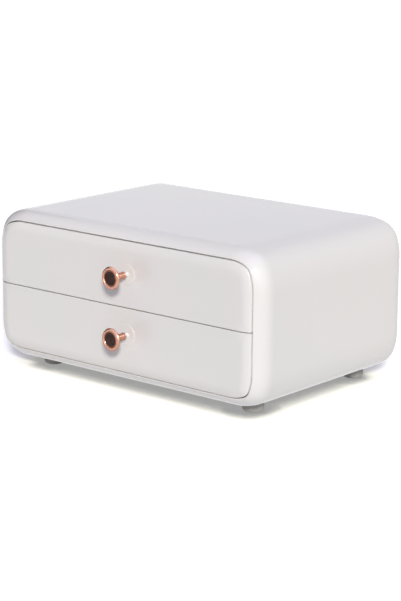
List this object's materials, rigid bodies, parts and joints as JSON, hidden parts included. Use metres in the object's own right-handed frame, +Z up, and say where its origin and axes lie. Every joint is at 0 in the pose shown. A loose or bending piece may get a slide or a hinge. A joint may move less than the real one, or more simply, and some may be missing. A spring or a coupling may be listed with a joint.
{
  "type": "makeup drawer organizer",
  "caption": "Low desktop organizer with a pillow-rounded glossy casing, full-width drawers one above the other, round pull knobs and rubber feet.",
  "frame": {"origin": "centre of the overall box on the surface that the feet stand on", "axes": "+X to the right as seen from the front, +Y from the knobs to the rear, so the drawers open along -Y, +Z up"},
  "size_m": [0.3, 0.228, 0.1433],
  "materials": {
    "white_plastic": "pearly gloss",
    "tray_plastic": "satin",
    "inner_plastic": "satin",
    "rose_gold": "polished rose gold",
    "brown_inlay": "satin",
    "grey_rubber": "matt",
    "plated_steel": "zinc plated"
  },
  "bodies": {
    "casing": {"casing_shell": "white_plastic", "front_bezel": "white_plastic", "left_guide": "inner_plastic", "right_guide": "inner_plastic", "middle_shelf": "inner_plastic", "foot_front_left": "grey_rubber", "foot_front_right": "grey_rubber", "foot_rear_left": "grey_rubber", "foot_rear_right": "grey_rubber"},
    "upper_drawer": {"upper_drawer_front": "white_plastic", "upper_drawer_tray": "tray_plastic", "upper_knob": "rose_gold", "upper_knob_inlay": "brown_inlay", "upper_knob_rosette": "white_plastic", "upper_knob_screw": "plated_steel"},
    "lower_drawer": {"lower_drawer_front": "white_plastic", "lower_drawer_tray": "tray_plastic", "lower_knob": "rose_gold", "lower_knob_inlay": "brown_inlay", "lower_knob_rosette": "white_plastic", "lower_knob_screw": "plated_steel"}
  },
  "joints": [
    {"name": "upper_drawer_slide", "type": "slide", "parent": "casing", "child": "upper_drawer", "axis": [0, -1, 0], "range_m": [0, 0.14]},
    {"name": "lower_drawer_slide", "type": "slide", "parent": "casing", "child": "lower_drawer", "axis": [0, -1, 0], "range_m": [0, 0.14]}
  ]
}
